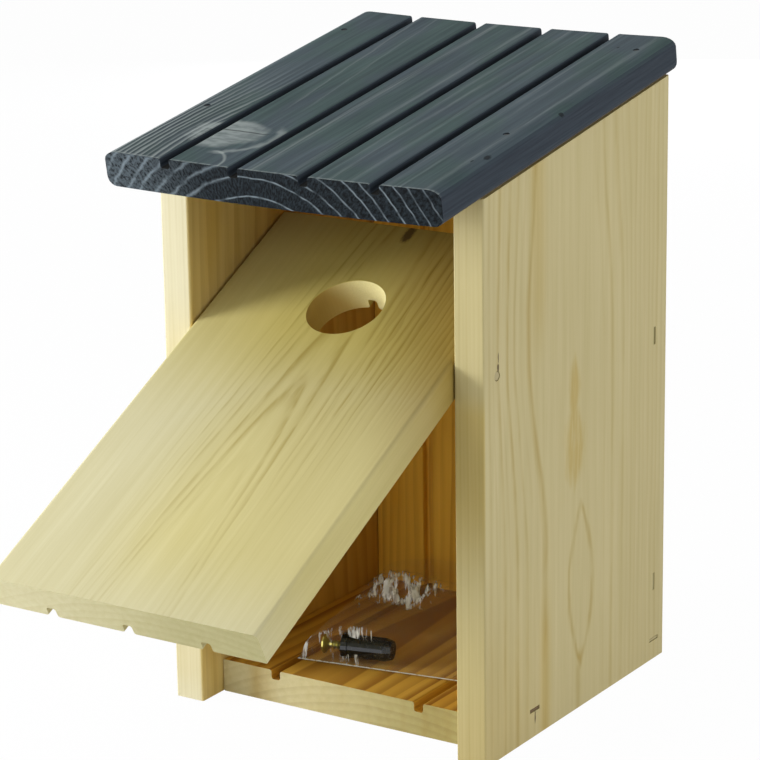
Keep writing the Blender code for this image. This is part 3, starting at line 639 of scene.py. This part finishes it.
def side_figure(graph, across, through, along):
    """Lines pinched forward at mid height, two long islands, and fine straight lines at the back."""
    pinch = graph.plus(1.0, *[graph.fade(along, *fade) for fade in SIDE_PINCHES])
    wander = graph.plus(graph.sways(across, along, SIDE_SWAYS), graph.times(through, SIDE_THROUGH_SHARE))
    strayed = graph.plus(across, wander)
    front = graph.marks(graph.over(strayed, pinch), SIDE_FRONT_LINES, SIDE_LINE_FALL)
    rear_place = graph.plus(across, graph.patch(across, along, *SIDE_REAR_LEAN), wander)
    rear = graph.marks(rear_place, SIDE_REAR_LINES, SIDE_LINE_FALL)
    fine = graph.times(graph.rings(rear_place, SIDE_FINE_SPACING), graph.fade(rear_place, *SIDE_FINE_FADE))
    uneven = graph.wear(across, along, *SIDE_WEAR)
    low_island = island(graph, across, along, *SIDE_LOW_ISLAND)
    outline = graph.times(graph.hump(low_island, *ISLAND_OUTLINE), uneven, ISLAND_OUTLINE_STRENGTH)
    tip = graph.patch(low_island, along, *ISLAND_TIP)
    stem = graph.stripe(strayed, along, *SIDE_STEM)
    lines = graph.plus(graph.times(graph.plus(front, rear), uneven), fine, outline, tip, stem)
    # Painted shadow of the open panel on the front edge
    painted_shade = graph.times(graph.patch(across, along, *SIDE_EDGE_PAINTED_SHADOW), graph.band(along, *SIDE_EDGE_SHADOW_FOOT))
    return lines, side_glow(graph, across, along), painted_shade


def spots(graph, across, along, places):
    """1 inside dark marks that lie along the grain, with soft ragged rims."""
    total = 0.0
    for x, y, half_width, half_length in places:
        u, v = graph.offsets(across, along, (x, y), (half_width, half_length))
        ragged = graph.sway(across, along, *MARK_SWAY, x)
        total = graph.most(total, graph.band(graph.plus(graph.length(u, v), ragged), *MARK_RIM))
    return total


def hole_colour(graph, place, colour, fibre):
    """Painted light and shade on the entrance's wall: lit fresh wood to the right, up and out, and painted
    shade on its left, low down and towards its rear rim.
    """
    across, through, along = place
    above = graph.less(along, HOLE_HEIGHT)
    inside = graph.band(graph.length(across, above), HOLE_RADIUS + HOLE_BLUR, HOLE_RADIUS)
    inside = graph.times(inside, graph.band(through, *HOLE_DEPTH_SPAN))
    turned = graph.weighed((across, above, through), HOLE_SHADE_SLANT)
    wall = graph.tone(HOLE_WALL_LIT, fibre, *HOLE_FIBRE_TONES)
    wall = graph.mix(graph.band(turned, *HOLE_SHADE_SPAN), wall, HOLE_WALL_SHADED)
    return graph.mix(inside, colour, wall)


def whole_board_lines(graph, place, masks, lines, edge_strength, seed):
    """The face's lines, with fine straight lines on the long edges and ring arcs on the sawn ends."""
    across, through, along = place
    on_edge, on_end = masks
    edge_place = graph.plus(through, graph.sway(through, along, *EDGE_SWAY, seed), EDGE_LINE_START)
    edge_lines = graph.times(graph.rings(edge_place, EDGE_LINE_SPACING), edge_strength)
    lines = graph.blend(on_edge, lines, edge_lines)
    bow = graph.times(graph.less(across, END_RING_CENTRE), END_RING_BOW)
    wander = graph.sway(across, through, *END_SWAY, seed)
    end_place = graph.plus(through, graph.times(bow, bow), wander, END_RING_START)
    end_lines = graph.times(graph.rings(end_place, END_RING_SPACING), END_LINE_STRENGTH)
    return graph.blend(on_end, lines, end_lines)


def pine_colour(graph, place, masks, tones, wood, seed):
    """Colour of pine from its lines, glow, painted shade and fibres, with streaks and clouds of its own."""
    across, through, along = place
    on_edge, on_end = masks
    lines, glow, painted_shade, fibre = wood
    shifted = graph.plus(across, seed)
    colour = graph.mix(graph.times(glow, GLOW_STRENGTH), tones["pale"], tones["honey"])
    colour = graph.mix(graph.times(lines, tones["contrast"]), colour, tones["late"])
    colour = graph.tone(colour, fibre, *FIBRE_TONES)
    colour = graph.tone(colour, graph.grain(shifted, through, along, *PINE_STREAK), *STREAK_TONES)
    colour = graph.tone(colour, graph.grain(shifted, through, along, *PINE_CLOUD), *CLOUD_TONES)
    # Painted shade and amber bounce light inside the box, none on the sawn ends
    painted_shade = graph.times(painted_shade, graph.less(1.0, on_end))
    colour = graph.shade(painted_shade, colour, tones["painted_shade"])
    # Deeper painted shade towards the back of the left side's inner face
    if "deep_shade" in tones:
        colour = graph.shade(graph.times(painted_shade, graph.band(across, *DEEP_SHADE_SPAN)), colour, tones["deep_shade"])
    colour = graph.shade(graph.times(on_end, graph.band(across, *DARK_END_SPAN)), colour, tones["end"])
    return graph.shade(on_edge, colour, tones["edge"])


def pine(name, board, tones, figure, seed, dark_marks=()):
    """Planed pine with a figure on its faces, and with dark marks where they are given."""
    graph = Graph(bpy.data.materials.new(name))
    across, through, along = place = board.space(graph)
    masks = board.faces(graph)
    lines, glow, painted_shade = figure(graph, across, through, along)
    lines = whole_board_lines(graph, place, masks, lines, tones["edge_lines"], seed)
    fibre = graph.grain(across, through, along, *PINE_FIBRE)
    colour = pine_colour(graph, place, masks, tones, (lines, glow, painted_shade, fibre), seed)
    if name == "panel_pine":
        colour = hole_colour(graph, place, colour, fibre)
    if dark_marks:
        on_face = graph.band(graph.math("ABSOLUTE", through), *MARK_FACE_SPAN)
        mark = graph.times(spots(graph, across, along, dark_marks), on_face, MARK_STRENGTH)
        colour = graph.mix(mark, colour, MARK_TONE)
    height = graph.weighed((fibre, lines), PINE_HEIGHTS)
    return graph.surface({"Base Color": colour, "Normal": graph.bump(height, *PINE_RELIEF),
                          "Roughness": PINE_ROUGHNESS, "Specular IOR Level": PINE_SPECULAR})


def stained_roof(board):
    """Slate stain on planed pine: streaks and a knot on top, pale ring arcs on the dark ends."""
    graph = Graph(bpy.data.materials.new("roof_stain"))
    across, through, along = board.space(graph)
    on_edge, on_end = board.faces(graph)
    top, pale_top = roof_top(graph, across, along)
    end, pale_end = roof_end(graph, across, through)
    # Painted shade in the grooves, darkest at their mouths in front
    in_groove = graph.patch(through, graph.math("ABSOLUTE", across), *ROOF_GROOVES)
    top = graph.mix(graph.times(in_groove, ROOF_GROOVE_SHADE_STRENGTH), top, ROOF_GROOVE_SHADE)
    mouth_shade = graph.times(in_groove, graph.band(along, *ROOF_MOUTH_SHADE_SPAN), ROOF_MOUTH_SHADE_STRENGTH)
    top = graph.mix(mouth_shade, top, ROOF_END_DARK)
    top = graph.mix(graph.band(through, *ROOF_UNDERSIDE_SPAN), top, ROOF_UNDERSIDE)
    colour = graph.mix(on_edge, top, roof_edge(graph, through, along))
    colour = graph.mix(on_end, colour, end)
    dents = graph.times(spots(graph, across, along, ROOF_DENTS), graph.band(through, *ROOF_DENT_SPAN))
    colour = graph.mix(graph.times(dents, MARK_STRENGTH), colour, ROOF_DENT_TONE)
    fibre = graph.grain(across, through, along, *ROOF_FIBRE)
    height = graph.weighed((fibre, pale_top, graph.times(pale_end, on_end)), ROOF_HEIGHTS)
    rough = graph.math("MULTIPLY_ADD", fibre, *ROOF_ROUGHNESS)
    rough = graph.plus(rough, graph.times(on_end, ROOF_END_ROUGHNESS))
    return graph.surface({"Base Color": colour, "Normal": graph.bump(height, *ROOF_RELIEF),
                          "Roughness": rough, "Specular IOR Level": ROOF_SPECULAR})


def roof_lines(graph, across, along, streak):
    """Pale lines of the roof's top: wavy beside the knot, slanted behind it and straight elsewhere."""
    wander = graph.sways(across, along, ROOF_SWAYS)
    push = graph.stripe(along, across, *WAVY_PUSH)
    rings = graph.rings(graph.plus(across, push, wander, WAVY_START), WAVY_SPACING)
    wavy = graph.times(graph.band(rings, *WAVY_RISE), graph.patch(across, along, *WAVY_PATCH))
    slant = graph.plus(across, graph.times(along, SLANT), wander)
    slanted = graph.times(graph.marks(slant, SLANTED_LINES), graph.patch(across, along, *SLANTED_PATCH))
    straight = graph.times(graph.marks(graph.plus(across, wander), STRAIGHT_LINES, fall=1.0),
                           STRAIGHT_STRENGTH, graph.band(streak, *STRAIGHT_STREAK_SPAN))
    return graph.plus(wavy, slanted, straight)


def roof_top(graph, across, along):
    """Colour of the roof's top: streaks along the slats, pale lines, the knot and a worn front arris."""
    streak = graph.grain(across, 0.0, along, *ROOF_STREAK)
    broad = graph.grain(across, ROOF_BROAD_SEED, along, *ROOF_BROAD)
    tint = graph.grain(across, ROOF_TINT_SEED, along, *ROOF_TINT)
    colour = graph.tone(graph.ramp(streak, ROOF_STREAK_STOPS), broad, *ROOF_BROAD_TONES)
    colour = graph.shade(1.0, colour, graph.ramp(tint, ROOF_TINT_STOPS))
    knot, crack = roof_knot(graph, across, along)
    pale = graph.plus(roof_lines(graph, across, along, streak), knot)
    colour = graph.tone(colour, graph.patch(across, along, *BESIDE_KNOT), *BESIDE_KNOT_TONES)
    colour = graph.mix(graph.times(pale, ROOF_PALE_STRENGTH), colour, ROOF_PALE)
    arris = graph.patch(along, streak, ARRIS_SPAN, ARRIS_STREAK_SPAN, ARRIS_STRENGTH)
    colour = graph.mix(arris, colour, ROOF_PALE)
    return graph.mix(crack, colour, CRACK_TONE), pale


def roof_knot(graph, across, along):
    """Pale swirls where the grain turns round a knot near the front, and the dark crack across it."""
    ragged = graph.sway(across, along, *KNOT_SWAY)
    u, v = graph.offsets(across, along, KNOT, (KNOT_REACH, graph.fade(along, *KNOT_REACH_FADE)))
    around = graph.plus(graph.length(u, v), ragged)
    squeezed = graph.join(graph.times(across, KNOT_MOTTLE_SQUEEZE), along, KNOT_MOTTLE_SEED)
    mottle = graph.fade(graph.noise(squeezed, *KNOT_MOTTLE), *KNOT_MOTTLE_FADE)
    body = graph.times(graph.band(around, *KNOT_RIM), mottle)
    swirl = graph.times(graph.hump(around, *SWIRL), graph.patch(across, along, *SWIRL_PATCH))
    hook_place = graph.length(*graph.offsets(across, along, HOOK_CENTRE, HOOK_REACH))
    hook_at = graph.plus(hook_place, graph.times(ragged, HOOK_RAGGEDNESS))
    hook = graph.stripe(hook_at, across, *HOOK)
    shade = graph.patch(hook_at, across, *HOOK_SHADE)
    wobble = graph.sway(across, along, *CRACK_SWAY)
    crack = graph.hump(graph.plus(along, wobble), *CRACK)
    crack = graph.times(crack, graph.patch(across, across, *CRACK_PATCH))
    return graph.plus(body, swirl, hook, shade), crack


def roof_end(graph, across, through):
    """Colour of the sawn end: ring arcs round a heart under the board, and specks along the wood's rays."""
    u = graph.less(across, ROOF_HEART[0])
    v = graph.less(through, ROOF_HEART[1])
    wander = graph.plus(graph.sway(across, through, *ROOF_END_SWAY), graph.fade(across, *ROOF_END_SHIFT))
    radius = graph.plus(graph.length(u, v), wander)
    fine_arcs = graph.marks(radius, ROOF_RINGS, FINE_RING_FALL)
    broad_radius = graph.plus(radius, graph.sway(across, through, *BROAD_RING_SWAY))
    broad_arcs = graph.marks(broad_radius, ROOF_BROAD_RINGS, fall=1.0)
    arcs = graph.blend(graph.band(across, *BROAD_RING_SPAN), fine_arcs, broad_arcs)
    angle = graph.math("ARCTAN2", u, v)
    rays = graph.join(graph.times(radius, SPECK_SCALE[0]), graph.times(angle, SPECK_SCALE[1]), 0.0)
    speck = graph.noise(rays, *SPECK_DETAIL)
    colour = graph.ramp(speck, SPECK_STOPS)
    colour = graph.mix(graph.patch(across, speck, *PALER_END), colour, ROOF_END_LINE)
    strength = graph.noise(graph.join(across, through, RING_BREAK_SEED), *RING_BREAK)
    arcs = graph.times(arcs, graph.band(strength, *RING_BREAK_SPAN))
    return graph.mix(arcs, colour, ROOF_END_LINE), arcs


def roof_edge(graph, through, along):
    """Colour of the roof's long sides, where the stain is bluer and streaked along the grain."""
    place = graph.join(graph.times(along, ROOF_EDGE_STRETCH), through, ROOF_EDGE_SEED)
    return graph.ramp(graph.noise(place, *ROOF_EDGE_STREAK), ROOF_EDGE_STOPS)


def plain(name, colour, roughness, metallic):
    """A finish with slight smudges in its gloss."""
    graph = Graph(bpy.data.materials.new(name))
    smudge = graph.noise(graph.add("TexCoord").outputs["Object"], SMUDGE_SCALE, SMUDGE_DETAIL)
    rough = graph.math("MULTIPLY_ADD", smudge, SMUDGE_DEPTH, roughness - SMUDGE_DEPTH / 2)
    return graph.surface({"Base Color": colour, "Roughness": rough, "Metallic": metallic})


def dress_boards():
    left = plain_figure(centre=80.0, depth=70.0, lean=0.03, spacing=4.0, seed=21.0, shade_through=(-12.0, -13.0))
    back = plain_figure(centre=12.0, depth=45.0, lean=0.02, spacing=3.2, seed=31.0, shade_through=(-12.0, -9.0))
    floor = plain_figure(centre=-14.0, depth=40.0, lean=0.015, spacing=4.2, seed=41.0,
                         shade_through=(-12.0, -9.0))
    places = boards()
    dress("roof", stained_roof(places["roof"]))
    for node, name, tones, figure, seed, dark_marks in (
            ("right_side", "right_side_pine", SIDE_TONES, side_figure, 11.0, SIDE_CRACKS),
            ("left_side", "left_side_pine", LEFT_TONES, left, 23.0, ()),
            ("back_board", "back_pine", BACK_TONES, back, 37.0, ()),
            ("floor_board", "floor_pine", FLOOR_TONES, floor, 43.0, ()),
            ("front_panel", "panel_pine", PANEL_TONES, panel_figure, 53.0, PANEL_CHIPS)):
        dress(node, pine(name, places[node], tones, figure, seed, dark_marks))


def dress_small_parts():
    for word, *finish in FINISHES:
        material = plain(*finish)
        for node in NODES:
            if word in node:
                dress(node, material)


def soft_area(u, v):
    """1 in the middle of a rounded area, falling off steeply past -1 and 1."""
    return math.exp(-u ** 4 - v ** 4)


def creases(x, y, width):
    """Crumpled film at a place in millimetres: height from -1 to 1, and 1 where its facet is white with a
    painted glint.

    The facets are long in the camera's direction, and the given width wide.
    """
    place = Vector((x, y, 0)) @ VIEW_TURN
    place = Vector((place.x / width, place.y / (width * FACET_LENGTH), width))
    centre = noise.voronoi(place)[1][0]
    lean = noise.cell_vector(centre * FACET_SEED)
    sideways = (place.x - centre.x) * FACET_SIDE_SLOPE * (lean.x - 0.5)
    height = sideways + (place.y - centre.y) * (FACET_FRONT_SLOPE + lean.y)
    return height, float(lean.z > GLINT_FACET_FROM)


def crumple(x, y):
    """How crumpled the film is at a place, and how far that lies back in the crumple, from -1 to 1."""
    across = (x - BAG_CRUMPLE.x) / BAG_CRUMPLE_REACH.x
    along = (y - BAG_CRUMPLE.y - BAG_CRUMPLE_SLANT * (BAG_CRUMPLE.x - x)) / BAG_CRUMPLE_REACH.y
    return soft_area(across, along), min(1, max(-1, along))


def film_height(x, y, row_share):
    """Height of the upper film over the floor: a low pillow with a bulge along the fixings."""
    pillow = BAG_MOUTH_HEIGHT + (BAG_PILLOW_HEIGHT - BAG_MOUTH_HEIGHT) * math.sin(math.pi * row_share)
    offset = Vector((x, y)) - BAG_BULGE
    lengthwise = offset.dot(BAG_BULGE_ALONG) / BAG_BULGE_REACH.x
    crosswise = offset.cross(BAG_BULGE_ALONG) / BAG_BULGE_REACH.y
    return max(pillow, BAG_BULGE_HEIGHT * soft_area(lengthwise, crosswise))


def rim_white_and_glint(from_seam, crown, row_share):
    """How white the film is on its front rim, and its painted glint on the front of its sides."""
    if from_seam < BAG_RIM:
        return 1.0
    if crown < SIDE_GLINT_CROWN and row_share < SIDE_GLINT_LENGTH:
        return SIDE_GLINT
    return 0.0


def film_point(x, y, side, row_share, from_seam):
    """A point of the upper film at a place on the floor, and how white it is with creases and painted
    glints.
    """
    rise = min(1, max(0, from_seam - BAG_SEAM_WIDTH) / BAG_SEAM_RISE)
    seam = 1 - (1 - rise) ** 2
    crown = math.sin(math.pi * side) ** BAG_SIDE_FULLNESS
    broad, broad_glint = creases(x, y, BROAD_FACET_WIDTH)
    fine, fine_glint = creases(x, y, FINE_FACET_WIDTH)
    crumpled, toward_back = crumple(x, y)
    height = BROAD_FACET_SHARE * broad + FINE_FACET_SHARE * fine
    strength = BAG_CREASE_HEIGHT + (BAG_CRUMPLE_HEIGHT - BAG_CREASE_HEIGHT) * crumpled
    swell = (film_height(x, y, row_share) + BAG_CRUMPLE_LIFT * crumpled * toward_back) * crown * seam
    point = Vector((x, y, BAG_SEAM_HEIGHT + swell + strength * height * seam * crown))
    # White of creased film with painted glints on chosen facets, and painted glints round the screw
    white_and_glint = CRUMPLE_WHITE_AND_GLINT + BROAD_FACET_GLINT * broad_glint + FINE_FACET_GLINT * fine_glint
    u = (x - SCREW_GLINT_PLACE.x) / SCREW_GLINT_REACH.x
    v = (y - SCREW_GLINT_PLACE.y) / SCREW_GLINT_REACH.y
    screw_glint = SCREW_GLINT * soft_area(u, v)
    return point, max(white_and_glint * crumpled, screw_glint, rim_white_and_glint(from_seam, crown, row_share))


def film_ring(row):
    """Points and strengths of whitening and painted glint of one loop round the bag: over the upper film and
    back under it.
    """
    share = row / (FILM_ROWS - 1)
    left = BAG_FRONT_LEFT.lerp(BAG_REAR_LEFT, share)
    right = BAG_FRONT_RIGHT.lerp(BAG_REAR_RIGHT, share)
    from_seam = (BAG_REAR_LEFT - BAG_FRONT_LEFT).length * share
    points, folds_and_glints = [], []
    for column in range(FILM_COLUMNS):
        side = column / (FILM_COLUMNS - 1)
        x, y = left.lerp(right, side)
        point, fold_and_glint = film_point(x, y, side, share, from_seam)
        points.append(point)
        folds_and_glints.append(fold_and_glint)
    for column in range(1, FILM_UNDER_COLUMNS + 1):
        x, y = right.lerp(left, column / (FILM_UNDER_COLUMNS + 1))
        points.append(Vector((x, y, 0)))
        folds_and_glints.append(0)
    return points, folds_and_glints


def add_object(name, data):
    made = bpy.data.objects.new(name, data)
    bpy.context.scene.collection.objects.link(made)
    return made


def add_mesh(name, builder, material):
    """An object with the builder's faces and one material."""
    mesh = bpy.data.meshes.new(name)
    builder.to_mesh(mesh)
    builder.free()
    mesh.materials.append(material)
    return add_object(name, mesh)


def make_film_bag():
    """Clear bag of thin film in the place of the CAD's, closed by a seam in front and open behind."""
    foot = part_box("fixings_bag")[0].z + BAG_FOOT_GAP * MM
    builder = bmesh.new()
    layer = builder.verts.layers.float.new("fold_and_glint")
    rings = []
    for row in range(FILM_ROWS):
        points, folds_and_glints = film_ring(row)
        ring = [builder.verts.new(point * MM + Vector((0, 0, foot))) for point in points]
        for vert, fold_and_glint in zip(ring, folds_and_glints):
            vert[layer] = fold_and_glint
        rings.append(ring)
    for near, far in zip(rings, rings[1:]):
        for index, vert in enumerate(near):
            after = (index + 1) % len(near)
            builder.faces.new((vert, near[after], far[after], far[index]))
    for face in builder.faces:
        face.smooth = True
    bag = add_mesh("film_bag", builder, film_material())
    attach(bag, "box")
    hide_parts("fixings_bag")


def film_material():
    """Clear film that whitens along its folds, partly with painted glints in white strokes, and veils what
    lies below it where it is seen edge on.
    """
    graph = Graph(bpy.data.materials.new("clear_film"))
    fold_and_glint = graph.add("Attribute", attribute_name="fold_and_glint").outputs["Fac"]
    place = graph.add("TexCoord").outputs["Object"]
    turn = {"Vector": place, "Angle": -CAMERA_AZIMUTH}
    turned = graph.add("VectorRotate", turn, rotation_type="Z_AXIS").outputs[0]
    strokes = graph.noise(graph.vector("MULTIPLY", turned, Vector(FILM_STROKE_SCALE)), *FILM_STROKE_DETAIL)
    facing = graph.add("LayerWeight", {"Blend": FILM_FACING_BLEND}).outputs["Facing"]
    veil = graph.plus(FILM_VEIL, graph.times(facing, FILM_SLANT_VEIL))
    # White strokes of creased film and painted glints
    stroked = graph.plus(fold_and_glint, graph.times(strokes, FILM_STROKE_SHARE))
    white_and_glints = graph.patch(stroked, fold_and_glint, FILM_STROKE_SPAN, FILM_FOLD_SPAN, FILM_STROKE_WHITE_AND_GLINT)
    white_and_glints = graph.most(white_and_glints, graph.fade(fold_and_glint, *FILM_RIM_FADE))
    wrinkle = graph.times(graph.noise(place, *FILM_WRINKLE), FILM_WRINKLE_HEIGHT)
    height = graph.plus(wrinkle, graph.times(graph.dot(turned, Y), FILM_FOLD_SLOPE))
    inputs = {"Base Color": FILM_TONE, "Alpha": graph.most(veil, white_and_glints),
              "Normal": graph.bump(height, 1.0, 1.0)}
    return graph.surface(inputs | FILM_GLOSS)


def shown_directly(graph):
    """1 for rays from the camera, from a mirror or through glass, and 0 for light that falls on things."""
    path = graph.add("LightPath").outputs
    return graph.most(path["Is Camera Ray"], path["Is Glossy Ray"], path["Is Transmission Ray"])


def make_stage():
    """Pale floor that keeps a faint shadow and is white to the camera."""
    graph = Graph(bpy.data.materials.new("floor_white"))
    lit = graph.add("BsdfDiffuse", {"Color": grey(FLOOR_GREY)})
    glow = graph.add("Emission", {"Color": grey(1.0), "Strength": 1.0})
    share = graph.times(shown_directly(graph), FLOOR_GLOW_SHARE)
    both = graph.add("MixShader", {"Fac": share, 1: lit.outputs[0], 2: glow.outputs[0]})
    builder = bmesh.new()
    bmesh.ops.create_grid(builder, x_segments=1, y_segments=1, size=FLOOR_REACH)
    floor = add_mesh("floor", builder, graph.finish(both))
    floor.location.z = -FLOOR_GAP


def make_world():
    world = bpy.data.worlds.new("studio")
    bpy.context.scene.world = world
    graph = Graph(world)
    strength = graph.math("MULTIPLY_ADD", shown_directly(graph), 1 - WORLD_LIGHT, WORLD_LIGHT)
    graph.finish(graph.add("Background", {"Color": grey(1.0), "Strength": strength}), "World")


def add_lamp(name, place, target, size, power):
    lamp = bpy.data.lights.new(name, "AREA")
    lamp.shape = "DISK"
    lamp.size = size
    lamp.energy = power
    lamp.color = SOFT_WHITE
    lamp_object = add_object(name, lamp)
    lamp_object.location = place
    lamp_object.rotation_euler = (Vector(target) - Vector(place)).to_track_quat("-Z", "Y").to_euler()


def make_camera():
    """Camera at the photograph's viewpoint, which looks down a little and is rolled by under a degree."""
    data = bpy.data.cameras.new("camera")
    data.lens = CAMERA_LENS
    data.sensor_width = CAMERA_SENSOR
    data.clip_start = CAMERA_CLIP
    camera = add_object("camera", data)
    turn = Matrix.Rotation(CAMERA_AZIMUTH, 4, "Z")
    tilt = Matrix.Rotation(math.pi / 2 - CAMERA_ELEVATION, 4, "X")
    roll = Matrix.Rotation(-CAMERA_ROLL, 4, "Z")
    camera.matrix_world = Matrix.Translation(CAMERA_PLACE) @ turn @ tilt @ roll
    bpy.context.scene.camera = camera


dress_boards()
dress_small_parts()
make_film_bag()
make_stage()
make_world()
for name, lamp in LAMPS.items():
    add_lamp(name, *lamp)
make_camera()
bpy.context.scene.view_settings.view_transform = "Standard"
